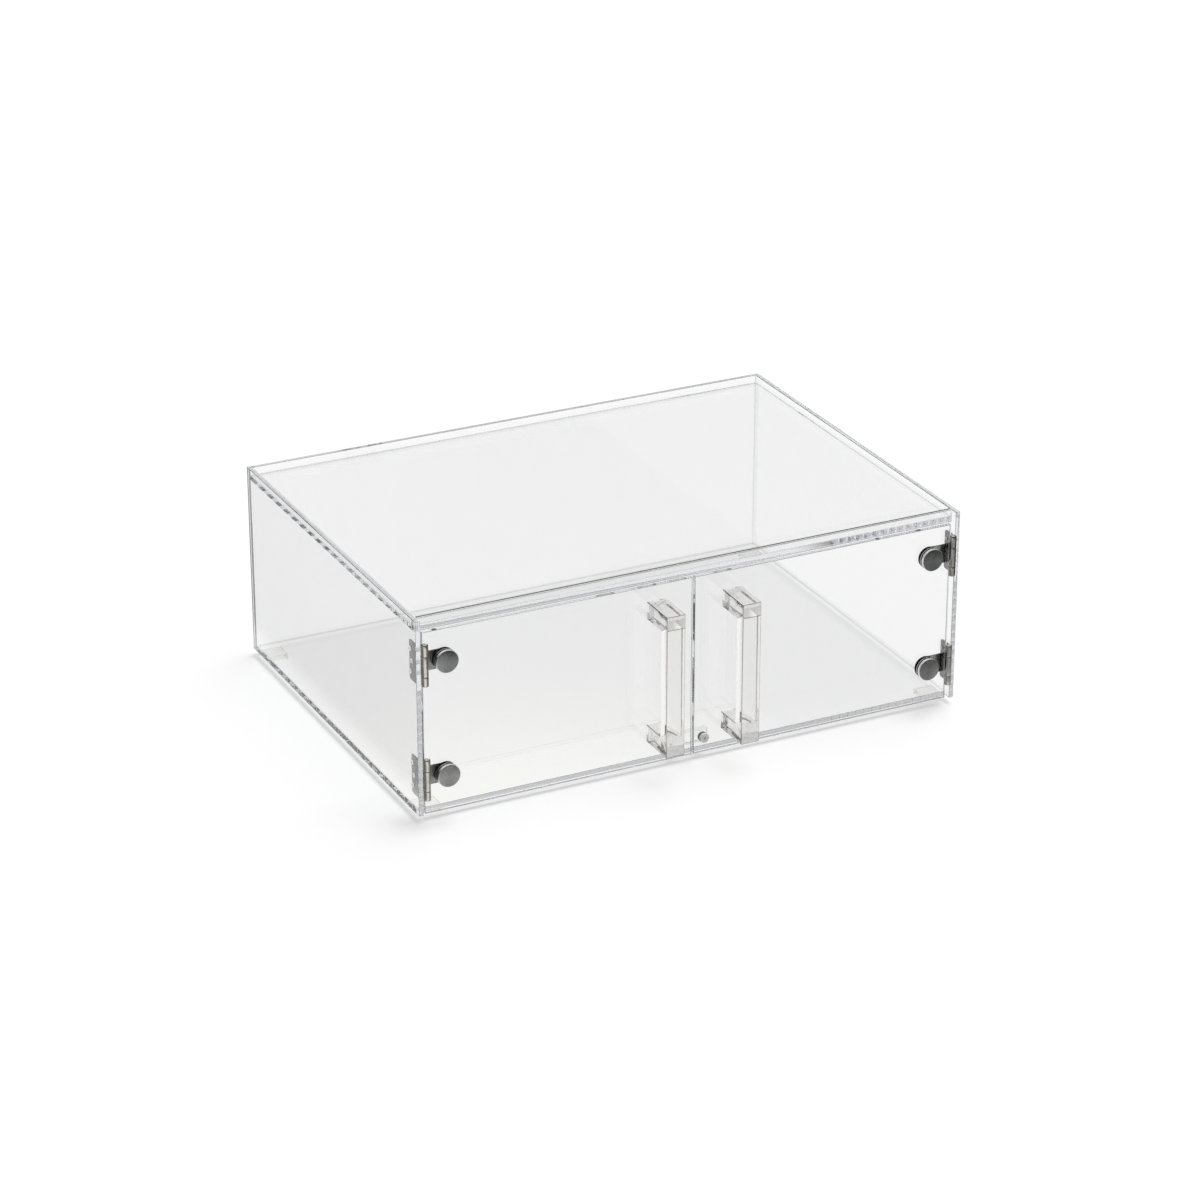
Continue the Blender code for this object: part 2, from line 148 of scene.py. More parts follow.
class ClearBarSettings(bpy.types.PropertyGroup):
    """Warm clear bar of the handles and feet"""

    face_tint: tint("Face Tint", "Colour that each face of the bar passes", (0.99, 0.987, 0.978))
    shade_tint: tint("Shade Tint", "Share of lamp light that each face passes on", (0.95, 0.948, 0.945))
    depth_tint: tint("Depth Tint", "Colour that light takes inside the bar", (0.52, 0.49, 0.42))
    depth_density: amount("Depth Density", "How fast light fades in the bar, per metre", 4.0)
    ripple: length("Ripple", "Length of the faint waves in a sanded and polished face", 0.012)
    smear: amount("Smear", "Roughness that wiping adds to a face in patches", 0.02)
    handle_leg: length("Handle Leg", "Height of a handle's legs", 0.0165)
    handle_grip: length("Handle Grip", "Depth of a handle's grip", 0.0116)
    handle_edge: length("Handle Edge", "Radius of the polished edges of a handle", 0.0006)
    handle_bond: length("Handle Bond", "How far the glue of a handle reaches into its door", 0.0001)
    # Painted shade: a darker tint on the rounded edges, for the dark outlines that clear bar shows.
    rounded_edge_shade: tint("Edge Tint", "Colour that each rounded edge passes", (0.78, 0.755, 0.7))
    foot_density: amount("Foot Density", "How fast light fades in a foot, per metre", 22.0)


class SteelSettings(bpy.types.PropertyGroup):
    """Steel, rubber and magnets of the hinges and catch"""

    plate: tint("Plate", "Colour of the hinge plates", (0.2, 0.2, 0.195))
    barrel: tint("Barrel", "Colour of the rolled knuckles", (0.24, 0.23, 0.215))
    # Painted highlight: the knuckles take this pale colour along their front, which faces the camera.
    barrel_highlight: tint("Barrel Front", "Colour of the knuckles where hands polish them", (0.68, 0.65, 0.6))
    barrel_highlight_turn: amount("Barrel Turn", "Where the polished front of a knuckle is, in turns from +X", 0.695)
    leaf: tint("Leaf", "Colour of the hinge leaves", (0.3, 0.3, 0.295))
    disc: tint("Disc", "Colour of the clamp discs", (0.3, 0.305, 0.305))
    # Painted highlight: the whole side of a clamp disc is given this pale colour for its shine.
    disc_side_highlight: tint("Disc Rim", "Colour of the bright side of a clamp disc", (0.95, 0.95, 0.94))
    screw: tint("Screw", "Colour of the pins and screws", (0.62, 0.61, 0.58))
    rubber: tint("Rubber", "Colour of the washers", (0.012, 0.012, 0.012))
    magnet: tint("Magnet", "Colour of the magnets", (0.95, 0.95, 0.94))
    frost: tint("Frost", "Colour of the tapped holes in the sheet", (0.98, 0.985, 0.985))
    # Painted light: the frosted holes glow with this strength, though they are no lamp.
    frost_painted_glow: amount("Frost Glow", "Light that the sheet guides to its tapped holes", 0.26)
    bottom_share: amount("Bottom Share", "Share of a barrel that is its bottom knuckle", 0.22)
    top_share: amount("Top Share", "Share of a barrel that is its top knuckle", 0.275)
    knuckle_gap: length("Knuckle Gap", "Gap between two knuckles", 0.0003)
    sleeve_lift: length("Sleeve Lift", "How far a polished knuckle stands out of its barrel", 0.00004)
    sleeve_end: length("Sleeve End", "Radius of the ends of a knuckle", 0.00035)
    # Painted shade: black rings fill the gaps between knuckles, where shade falls.
    gap_shade_thickness: length("Collar Thickness", "Thickness of the dark collars between knuckles", 0.0005)
    hole_width: length("Hole Width", "Width of a tapped hole in the sheet", 0.0042)
    hole_depth: length("Hole Depth", "Depth of the thread of a hole", 0.0026)
    recess_width: length("Recess Width", "Width of the cross in a screw head", 0.00055)
    recess_depth: length("Recess Depth", "Depth of the cross in a screw head", 0.00035)
    disc_thickness: length("Disc Thickness", "Thickness of a clamp disc", 0.003)
    disc_chamfer: length("Disc Chamfer", "Width of the broken edge of a clamp disc", 0.0004)
    outer_washer: length("Outer Washer", "Width of the washer in front of the door", 0.0206)
    inner_washer: length("Inner Washer", "Width of the washer behind the door", 0.0202)
    seat_ring: length("Seat Ring", "Thickness of the pale ring between washer and door", 0.0006)
    round_steps: IntProperty(
        name="Round Steps", description="Sides of the discs and washers", min=12, max=256, default=96
    )


class StageSettings(bpy.types.PropertyGroup):
    """Floor, light and camera"""

    floor_size: length("Floor Size", "Half the width of the floor", 12.0)
    floor_colour: tint("Floor Colour", "Colour of the floor under its light", (0.72, 0.72, 0.72))
    floor_glow: amount("Floor Glow", "What is added to the seen floor to make it white", 0.385)
    veil_floor: tint("Veil Floor", "Colour of the floor under its light through clear sheet", (0.3, 0.3, 0.3))
    veil_level: amount("Veil Level", "What is added to the floor through clear sheet", 0.7)
    # Painted light and shade on the floor as clear sheet shows it: a warm pool at the front left, a shadow on
    # the left and shade in front of the doors.
    warm_light_tint: tint("Warm Tint", "Colour of the front left floor through clear sheet", (1.0, 0.995, 0.97))
    warm_light_level: amount("Warm Level", "Brightness of that part of the floor", 0.98)
    room_level: amount("Room Level", "Brightness of the room behind the case through clear sheet", 0.95)
    side_shadow_level: amount("Side Level", "Brightness of the floor on the left in clear sheet", 0.56)
    front_shade_level: amount("Front Level", "Brightness of the floor in front of the doors in reflections", 0.38)
    dark_level: amount("Dark Level", "Brightness of the room behind the camera in reflections", 0.06)
    sky_level: amount("Sky Level", "Strength of the even light from all round", 0.45)
    upper_level: amount("Upper Level", "Brightness of the room above in reflections", 0.8)
    overhead_level: amount("Overhead Level", "Brightness of the ceiling in reflections", 1.5)
    key_level: amount("Key Level", "Strength of the lamp on the right", 1.9)
    key_size: angle("Key Size", "How wide the lamp on the right looks", 44.0)
    key_way: FloatVectorProperty(
        name="Key Way", description="Way that the lamp's light goes", size=3, default=(-0.45, -0.1, -1.0)
    )
    azimuth: angle("Camera Azimuth", "Turn of the camera about the case", -26.3465)
    elevation: angle("Camera Elevation", "Height angle of the camera", 24.4801)
    distance: length("Camera Distance", "Distance from the case to the camera", 3.72829)
    lens: FloatProperty(
        name="Lens", description="Focal length for a 36 mm frame", unit="CAMERA", default=120.855
    )


# Node helpers


def new_material(name):
    material = bpy.data.materials.new(name)
    material.use_nodes = True
    tree = material.node_tree
    tree.nodes.clear()
    return material, tree, tree.nodes.new("ShaderNodeOutputMaterial")


def add(tree, kind, **values):
    """A node with its properties and inputs set; a socket given as a value is linked.

    An input goes by its name, with underscores for spaces, or by "i" and its number.
    """
    node = tree.nodes.new(kind)
    for key, value in values.items():
        if hasattr(node, key):
            setattr(node, key, value)
            continue
        numbered = key[0] == "i" and key[1:].isdigit()
        socket = node.inputs[int(key[1:])] if numbered else node.inputs[key.replace("_", " ")]
        if isinstance(value, bpy.types.NodeSocket):
            tree.links.new(value, socket)
        else:
            socket.default_value = value
    return node


def maths(tree, operation, first, second=0.0):
    return add(tree, "ShaderNodeMath", operation=operation, i0=first, i1=second).outputs[0]


def remap(tree, value, given=(0.0, 1.0), wanted=(0.0, 1.0), curve="LINEAR"):
    """The value, moved from the given range to the wanted one."""
    ends = {"From_Min": given[0], "From_Max": given[1], "To_Min": wanted[0], "To_Max": wanted[1]}
    return add(tree, "ShaderNodeMapRange", interpolation_type=curve, Value=value, **ends).outputs[0]


def between(tree, place, edges):
    """Product of soft steps, each from 0 where it starts to 1 where it is in full."""
    share = 1.0
    for axis, start, full in edges:
        step = remap(tree, place[axis], (start, full), curve="SMOOTHSTEP")
        share = maths(tree, "MULTIPLY", share, step)
    return share


def noise(tree, where, scale=1.0, detail=2.0, roughness=0.5):
    values = {"Vector": where, "Scale": scale, "Detail": detail, "Roughness": roughness}
    return add(tree, "ShaderNodeTexNoise", **values).outputs[0]


def bump(tree, height, strength, distance):
    return add(tree, "ShaderNodeBump", Height=height, Strength=strength, Distance=distance).outputs[0]


def rgba(colour):
    return (colour[0], colour[1], colour[2], 1.0)


def shaded(tree, colour, share):
    return add(tree, "ShaderNodeVectorMath", operation="SCALE", i0=tuple(colour), Scale=share).outputs[0]


def mixed(tree, share, first, second):
    """The first colour at share 0, the second at 1."""
    return add(tree, "ShaderNodeMix", data_type="RGBA", Factor=share, i6=first, i7=second).outputs[2]


def mixed_shader(tree, share, first, second):
    return add(tree, "ShaderNodeMixShader", i0=share, i1=first, i2=second).outputs[0]


def emission(tree, strength, colour=(1.0, 1.0, 1.0)):
    return add(tree, "ShaderNodeEmission", Color=rgba(colour), Strength=strength).outputs[0]


def mirrored_rays(tree):
    """1 for what is seen in a reflection or through clear plastic."""
    path = tree.nodes.new("ShaderNodeLightPath").outputs
    return maths(tree, "MAXIMUM", path["Is Glossy Ray"], path["Is Transmission Ray"])


def seen_rays(tree):
    """1 for what is seen directly, in a reflection or through clear plastic."""
    path = tree.nodes.new("ShaderNodeLightPath").outputs
    return maths(tree, "MAXIMUM", path["Is Camera Ray"], mirrored_rays(tree))


def object_place(tree, scale):
    """Object coordinates, stretched."""
    where = tree.nodes.new("ShaderNodeTexCoord").outputs["Object"]
    return add(tree, "ShaderNodeMapping", Vector=where, Scale=scale).outputs[0]


def turn_map(tree, scale=None):
    """The "turn" map: the turn in U and the way along the profile in V."""
    where = add(tree, "ShaderNodeUVMap", uv_map="turn").outputs[0]
    return add(tree, "ShaderNodeMapping", Vector=where, Scale=scale).outputs[0] if scale else where


def coat(tree, output, **values):
    """Gives the material a principled surface with these values."""
    shader = add(tree, "ShaderNodeBsdfPrincipled", **values)
    tree.links.new(shader.outputs[0], output.inputs["Surface"])


# Materials


def clear_material(name, look, roughness=0.0, marks=0.0, face_tint=None, density=None, shade=None):
    """Clear plastic that bends and mirrors what is seen and lets lamp light through.

    With marks, the surface carries a cutter's fine marks of that spacing. Without,
    it has the faint waves and wiped patches of a polished face.
    """
    material, tree, output = new_material(name)
    spacing = marks or look.ripple
    where = object_place(tree, (1.0 / spacing,) * 3)
    waves = noise(tree, where, scale=0.35, detail=2.0 if marks else 0.0)
    plastic = add(
        tree,
        "ShaderNodeBsdfPrincipled",
        Base_Color=rgba(face_tint or look.face_tint),
        Roughness=remap(tree, waves, (0.55, 0.75), (roughness, roughness + look.smear)),
        IOR=1.49,
        Transmission_Weight=1.0,
        Normal=bump(tree, waves, 0.01 if marks else 0.0004, spacing),
    )
    open_way = add(tree, "ShaderNodeBsdfTransparent", Color=rgba(shade or look.shade_tint))
    path = tree.nodes.new("ShaderNodeLightPath").outputs
    lit = maths(tree, "MAXIMUM", path["Is Shadow Ray"], path["Is Diffuse Ray"])
    surface = mixed_shader(tree, lit, plastic.outputs[0], open_way.outputs[0])
    tree.links.new(surface, output.inputs["Surface"])
    fade = density or look.depth_density
    depth = add(tree, "ShaderNodeVolumeAbsorption", Color=rgba(look.depth_tint), Density=fade)
    tree.links.new(depth.outputs[0], output.inputs["Volume"])
    return material


def steel_material(name, colour, roughness, grains):
    """Steel with a fine grain, drawn out along an axis with fewer grains per metre."""
    material, tree, output = new_material(name)
    grain = noise(tree, object_place(tree, grains), detail=3.0, roughness=0.6)
    coat(
        tree,
        output,
        Base_Color=shaded(tree, colour, remap(tree, grain, (0.3, 0.7), (0.86, 1.1))),
        Metallic=1.0,
        Roughness=remap(tree, grain, (0.3, 0.7), (roughness * 0.85, roughness * 1.2)),
        Normal=bump(tree, grain, 0.12, 0.0002),
    )
    return material


def barrel_material(name, look):
    """Rolled steel with fine lathe rings, with a painted highlight: pale and smoother along the front that
    faces the camera.
    """
    material, tree, output = new_material(name)
    rings = noise(tree, turn_map(tree, (3.0, 110.0, 1.0)), detail=3.0)
    around = add(tree, "ShaderNodeSeparateXYZ", Vector=turn_map(tree)).outputs["X"]
    # Painted highlight: the colour turns pale on the front of each knuckle, where its shine is seen.
    away = maths(tree, "MULTIPLY", maths(tree, "SUBTRACT", around, look.barrel_highlight_turn), math.tau)
    uneven = maths(tree, "MULTIPLY", maths(tree, "SUBTRACT", rings, 0.5), 0.5)
    facing = maths(tree, "ADD", maths(tree, "COSINE", away), uneven)
    painted_highlight = remap(tree, facing, (0.88, 0.99), curve="SMOOTHSTEP")
    coat(
        tree,
        output,
        Base_Color=mixed(tree, painted_highlight, rgba(look.barrel), rgba(look.barrel_highlight)),
        Metallic=1.0,
        Roughness=remap(tree, painted_highlight, wanted=(0.16, 0.08)),
        Normal=bump(tree, rings, 0.15, 0.0001),
    )
    return material


def disc_material(name, look):
    """Turned steel: the face has fine rings, an anisotropic shine and a painted bow-tie sheen in its colour;
    the side has a pale colour that paints on a highlight.
    """
    material, tree, output = new_material(name)
    rings = noise(tree, turn_map(tree, (5.0, 900.0, 1.0)))
    streaks = noise(tree, turn_map(tree, (46.0, 8.0, 1.0)))
    place = add(tree, "ShaderNodeSeparateXYZ", Vector=turn_map(tree)).outputs
    # V where the face ends and the side starts.
    face_end = 0.2025
    side = maths(tree, "GREATER_THAN", place["Y"], face_end)
    grain = maths(tree, "MULTIPLY", maths(tree, "ADD", rings, streaks), 0.5)
    # Painted sheen: the colour is lighter in a bow tie round the disc, where turned steel shines.
    painted_bow_tie = maths(tree, "COSINE", maths(tree, "MULTIPLY", place["X"], 2 * math.tau))
    grain = maths(tree, "ADD", grain, maths(tree, "MULTIPLY", painted_bow_tie, 0.08))
    face = shaded(tree, look.disc, remap(tree, grain, (0.35, 0.65), (0.68, 1.25)))
    coat(
        tree,
        output,
        # The side takes the pale colour of a painted highlight.
        Base_Color=mixed(tree, side, face, rgba(look.disc_side_highlight)),
        Metallic=1.0,
        Roughness=remap(tree, side, wanted=(0.3, 0.35)),
        Anisotropic=0.85,
        Normal=bump(tree, rings, 0.1, 0.0001),
        Tangent=add(tree, "ShaderNodeTangent", direction_type="UV_MAP", uv_map="turn").outputs[0],
    )
    return material


def matte_material(name, colour, roughness, grain_size, depth, painted_glow=0.0):
    """Rubber, a coating or frosted plastic, with a fine uneven skin.

    The painted glow is emitted light, in place of the light that a clear sheet guides to its frosted spots.
    """
    material, tree, output = new_material(name)
    grain = noise(tree, object_place(tree, (1.0 / grain_size,) * 3))
    coat(
        tree,
        output,
        Base_Color=shaded(tree, colour, remap(tree, grain, wanted=(0.85, 1.1))),
        Roughness=roughness,
        Normal=bump(tree, grain, 0.2, depth),
        Emission_Strength=painted_glow,
    )
    return material


def stored(name, make, *values, **options):
    """The material of that name, made on first use."""
    name = "look_" + name
    return bpy.data.materials.get(name) or make(name, *values, **options)


def sheet_materials(look):
    """The materials of a sheet, in the order of its slots."""
    marks = look.edge_mark
    # The black strip on the header is painted shade, with a matte skin.
    sawn = {"roughness": 0.25, "grain_size": 0.0004, "depth": 0.00002}
    return [
        stored("clear_sheet", clear_material, look),
        stored("sheet_edge", clear_material, look, look.edge_roughness, marks),
        # The corner faces pass the grey tint of painted shade.
        stored("sheet_line", clear_material, look, look.broken_roughness, marks, look.broken_edge_shade),
        stored("header_line", matte_material, look.header_line, **sawn),
        stored("glued_end", clear_material, look, look.broken_roughness, marks),
        stored("floor_sheet", clear_material, look, shade=look.floor_shade),
    ]


# Black rubber of the washers, also the painted shade in the knuckle gaps and on the magnet sides.
def rubber_and_shade_material(look):
    return stored("rubber", matte_material, look.rubber, roughness=0.45, grain_size=0.0004, depth=0.0001)


def screw_material(look):
    return stored("screw_steel", steel_material, look.screw, roughness=0.16, grains=FINE_GRAIN)


# Mesh helpers


def object_of(name, mesh, materials=()):
    for material in materials:
        mesh.materials.append(material)
    obj = bpy.data.objects.new(name, mesh)
    bpy.context.scene.collection.objects.link(obj)
    return obj


def mesh_of(name, bm):
    mesh = bpy.data.meshes.new(name)
    bm.to_mesh(mesh)
    bm.free()
    return mesh


def discard(obj):
    mesh = obj.data
    bpy.data.objects.remove(obj)
    bpy.data.meshes.remove(mesh)


def settle(obj):
    """Applies the object's modifiers to its mesh."""
    bpy.context.view_layer.update()
    evaluated = obj.evaluated_get(bpy.context.evaluated_depsgraph_get())
    mesh = bpy.data.meshes.new_from_object(evaluated)
    old = obj.data
    obj.modifiers.clear()
    obj.data = mesh
    mesh.name = obj.name
    bpy.data.meshes.remove(old)


def combine(obj, tool, operation):
    boolean = obj.modifiers.new(operation.lower(), "BOOLEAN")
    boolean.operation = operation
    boolean.solver = "EXACT"
    boolean.object = tool
    settle(obj)
    discard(tool)


def soften_shading(obj, degrees=30.0):
    obj.data.shade_smooth()
    obj.data.set_sharp_from_angle(angle=math.radians(degrees))
    return obj


def add_box(bm, low, high):
    low, high = Vector(low), Vector(high)
    for vert in bmesh.ops.create_cube(bm, size=1.0)["verts"]:
        vert.co = vert.co * (high - low) + (low + high) / 2


def box_object(name, low, high):
    bm = bmesh.new()
    add_box(bm, low, high)
    return object_of(name, mesh_of(name, bm))


def sheet_slot(node, thin_axis, normal, behind_dark_strip):
    """The material slot of a sheet's face.

    The header and doors show all their broken edges, the other sheets only the corners.
    """
    square = 0.97
    # Painted shade: the header's rear top edge is a black strip.
    if node == "front_header" and behind_dark_strip and normal.z > 0.1:
        return DARK_STRIP
    if node == "back_panel" and abs(normal.x) > square:
        return GLUED
    if node == "floor_panel" and abs(normal.z) > square:
        return FLOOR
    limit = square if node == "front_header" or node.endswith("door_panel") else 0.9
    if abs(normal[thin_axis]) > limit:
        return FACE
    return EDGE if max(abs(part) for part in normal) > limit else LINE


def add_sheet(bm, node, thin_axis, look):
    """Adds a merged copy of a CAD sheet, with each face in its material slot."""
    copy = bmesh.new()
    copy.from_mesh(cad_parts[node].data)
    bmesh.ops.remove_doubles(copy, verts=copy.verts, dist=0.000005)
    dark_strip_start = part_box(node)[1].y - look.header_line_width
    if node == "front_header":
        whole = copy.verts[:] + copy.edges[:] + copy.faces[:]
        bmesh.ops.bisect_plane(copy, geom=whole, plane_co=(0.0, dark_strip_start, 0.0), plane_no=(0.0, 1.0, 0.0))
    copy.normal_update()
    for face in copy.faces:
        behind = face.calc_center_median().y > dark_strip_start
        face.material_index = sheet_slot(node, thin_axis, face.normal, behind)
        face.smooth = False
    mesh = mesh_of(node + "_copy", copy)
    bm.from_mesh(mesh)
    bpy.data.meshes.remove(mesh)


def turned(name, profile, steps):
    """A turned piece about Z, from a profile that starts and ends on the axis or closes on itself."""
    bm = bmesh.new()
    layer = bm.loops.layers.uv.new("turn")
    runs = [0.0]
    for first, second in zip(profile, profile[1:]):
        runs.append(runs[-1] + math.dist(first, second))
    turns = [step / steps * math.tau for step in range(steps)]
    rings = []
    for radius, height in profile:
        spots = [(radius * math.cos(t), radius * math.sin(t), height) for t in turns]
        rings.append([bm.verts.new(spot) for spot in (spots if radius > 0.0 else [(0.0, 0.0, height)])])
    closed = profile[0][0] > 0.0
    for index in range(len(profile) if closed else len(profile) - 1):
        upper, lower = rings[index], rings[(index + 1) % len(rings)]
        start, end = runs[index], runs[min(index + 1, len(runs) - 1)]
        for step in range(steps):
            after = (step + 1) % steps
            left, right = step / steps, (step + 1) / steps
            middle = (left + right) / 2
            if len(upper) == 1:
                corners = [(upper[0], middle, start), (lower[step], left, end), (lower[after], right, end)]
            elif len(lower) == 1:
                corners = [(upper[step], left, start), (lower[0], middle, end), (upper[after], right, start)]
            else:
                corners = [
                    (upper[step], left, start),
                    (lower[step], left, end),
                    (lower[after], right, end),
                    (upper[after], right, start),
                ]
            face = bm.faces.new([vert for vert, _, _ in corners])
            for loop, (_, across, along) in zip(face.loops, corners):
                loop[layer].uv = (across, along * TURN_MAP_SCALE)
    bmesh.ops.recalc_face_normals(bm, faces=bm.faces)
    return soften_shading(object_of(name, mesh_of(name, bm)))


def drawn(name, points, thickness, matrix):
    """A flat outline of even thickness, made a closed mesh."""
    bm = bmesh.new()
    low = [bm.verts.new((x, y, -thickness / 2)) for x, y in points]
    high = [bm.verts.new((x, y, thickness / 2)) for x, y in points]
    bm.faces.new(low)
    bm.faces.new(high)
    for index in range(len(points)):
        after = (index + 1) % len(points)
        bm.faces.new((low[index], low[after], high[after], high[index]))
    bmesh.ops.transform(bm, matrix=matrix, verts=bm.verts)
    bmesh.ops.recalc_face_normals(bm, faces=bm.faces)
    return object_of(name, mesh_of(name, bm))


def middle_of(node):
    low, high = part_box(node)
    return (low + high) / 2


def facing_front(nodes):
    """A place on the middle of the front side of each node."""
    return [((middle_of(node).x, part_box(node)[0].y, middle_of(node).z), FRONTWARDS) for node in nodes]


def leaf_screws():
    """The label and side of each leaf screw, and its node."""
    return [
        (label, side, "_".join((label, level, row, "screw")))
        for label, side in SIDES
        for level in LEVELS
        for row in ("bottom", "middle", "top")
    ]


def repeat_tree():
    """Copies of one piece on the points of a mesh, each turned as its point says."""
    tree = bpy.data.node_groups.get("repeat_on_points")
    if tree:
        return tree
    tree = bpy.data.node_groups.new("repeat_on_points", "GeometryNodeTree")
    kinds = {"Geometry": "Geometry", "Piece": "Object", "Scale": "Float", "Spin": "Float"}
    kinds.update(Seed="Int", Material="Material")
    for name, kind in kinds.items():
        tree.interface.new_socket(name, in_out="INPUT", socket_type="NodeSocket" + kind)
    tree.interface.new_socket("Geometry", in_out="OUTPUT", socket_type="NodeSocketGeometry")
    given = tree.nodes.new("NodeGroupInput").outputs
    facing = add(tree, "GeometryNodeInputNamedAttribute", data_type="FLOAT_VECTOR", Name="facing")
    turn = add(tree, "FunctionNodeEulerToRotation", Euler=facing.outputs["Attribute"])
    piece = add(tree, "GeometryNodeObjectInfo", transform_space="ORIGINAL", Object=given["Piece"])
    size = add(tree, "ShaderNodeCombineXYZ", X=given["Scale"], Y=given["Scale"], Z=given["Scale"])
    copies = add(
        tree,
        "GeometryNodeInstanceOnPoints",
        Points=given["Geometry"],
        Instance=piece.outputs["Geometry"],
        Rotation=turn.outputs[0],
        Scale=size.outputs[0],
    )
    chance = add(tree, "FunctionNodeRandomValue", data_type="FLOAT", i2=0.0, i3=given["Spin"])
    tree.links.new(given["Seed"], chance.inputs["Seed"])
    spin = add(tree, "ShaderNodeCombineXYZ", Z=chance.outputs[1])
    spin_turn = add(tree, "FunctionNodeEulerToRotation", Euler=spin.outputs[0])
    spun = add(
        tree, "GeometryNodeRotateInstances", Instances=copies.outputs[0], Rotation=spin_turn.outputs[0]
    )
    real = add(tree, "GeometryNodeRealizeInstances", Geometry=spun.outputs[0])
    finish = add(tree, "GeometryNodeSetMaterial", Geometry=real.outputs[0], Material=given["Material"])
    result = tree.nodes.new("NodeGroupOutput")
    tree.links.new(finish.outputs[0], result.inputs[0])
    return tree


def repeated(name, piece, places, material, spin=0.0, seed=0, scale=1.0):
    """One mesh with the piece on each place, given as (point, turn)."""
    mesh = bpy.data.meshes.new(name)
    mesh.from_pydata([tuple(point) for point, _ in places], [], [])
    facing = mesh.attributes.new("facing", "FLOAT_VECTOR", "POINT")
    for item, (_, turn) in zip(facing.data, places):
        item.vector = turn
    obj = object_of(name, mesh)
    modifier = obj.modifiers.new("repeat", "NODES")
    tree = repeat_tree()
    modifier.node_group = tree
    values = {"Piece": piece, "Scale": scale, "Spin": spin, "Seed": seed, "Material": material}
    for item in tree.interface.items_tree:
        if item.in_out == "INPUT" and item.name in values:
            modifier[item.identifier] = values[item.name]
    settle(obj)
    discard(piece)
    return obj


def place_piece(obj, body, slot, *nodes):
    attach(obj, body)
    if nodes:
        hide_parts(*nodes)


def dress(node, material):
    """Gives a CAD node one material in all its slots."""
    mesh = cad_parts[node].data
    if not mesh.materials:
        mesh.materials.append(material)
    for index in range(len(mesh.materials)):
        mesh.materials[index] = material


# Pieces


class DISPLAYCASE_OT_case(bpy.types.Operator):
    """Weld the six sheets of the case into one clear shell with bonded seams"""

    bl_idname = "displaycase.case"
    bl_label = "Welded Case"

    def execute(self, context):
        look = context.scene.case_sheet
        bm = bmesh.new()
        for node, thin_axis in CASE_SHEETS.items():
            add_sheet(bm, node, thin_axis, look)
        shell = object_of("welded_case", mesh_of("welded_case", bm), sheet_materials(look))
        combine(shell, self.side_bonds(look), "UNION")
        combine(shell, self.cross_bonds(look), "UNION")
        place_piece(shell, "case", "clear_acrylic", *CASE_SHEETS)
        return {"FINISHED"}

    def side_bonds(self, look):
        """Bonds between the side panels and the sheets between them; the back is bonded on the right."""
        bm = bmesh.new()
        inset = look.seam_inset
        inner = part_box("right_side_panel")[0].x
        both = (-1, 1)
        bonded = {"floor_panel": both, "top_panel": both, "front_header": both, "back_panel": (1,)}
        for node, sides in bonded.items():
            low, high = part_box(node)
            near, far = high.x - look.seam_overlap, inner + look.seam_overlap
            for side in sides:
                start, end = sorted((side * near, side * far))
                add_box(bm, (start, low.y + inset, low.z + inset), (end, high.y - inset, high.z - inset))
        return object_of("side_bonds", mesh_of("side_bonds", bm))

    def cross_bonds(self, look):
        """Bonds of the floor and top to the back panel, and of the top to the header."""
        bm = bmesh.new()
        inset, over = look.seam_inset, look.seam_overlap
        back_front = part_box("back_panel")[0].y
        header_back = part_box("front_header")[1].y
        for node, start, end in (
            ("floor_panel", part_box("floor_panel")[1].y, back_front),
            ("top_panel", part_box("top_panel")[1].y, back_front),
            ("top_panel", header_back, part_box("top_panel")[0].y),
        ):
            low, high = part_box(node)
            near = (low.x + inset, start - over, low.z + inset)
            add_box(bm, near, (high.x - inset, end + over, high.z - inset))
        return object_of("cross_bonds", mesh_of("cross_bonds", bm))


class DISPLAYCASE_OT_doors(bpy.types.Operator):
    """Finish the two doors with clear faces and cut edges"""

    bl_idname = "displaycase.doors"
    bl_label = "Doors"

    def execute(self, context):
        look = context.scene.case_sheet
        for label, _ in SIDES:
            body = label + "_door"
            bm = bmesh.new()
            add_sheet(bm, body + "_panel", 1, look)
            door = object_of(body, mesh_of(body, bm), sheet_materials(look))
            place_piece(door, body, "clear_acrylic", body + "_panel")
        return {"FINISHED"}


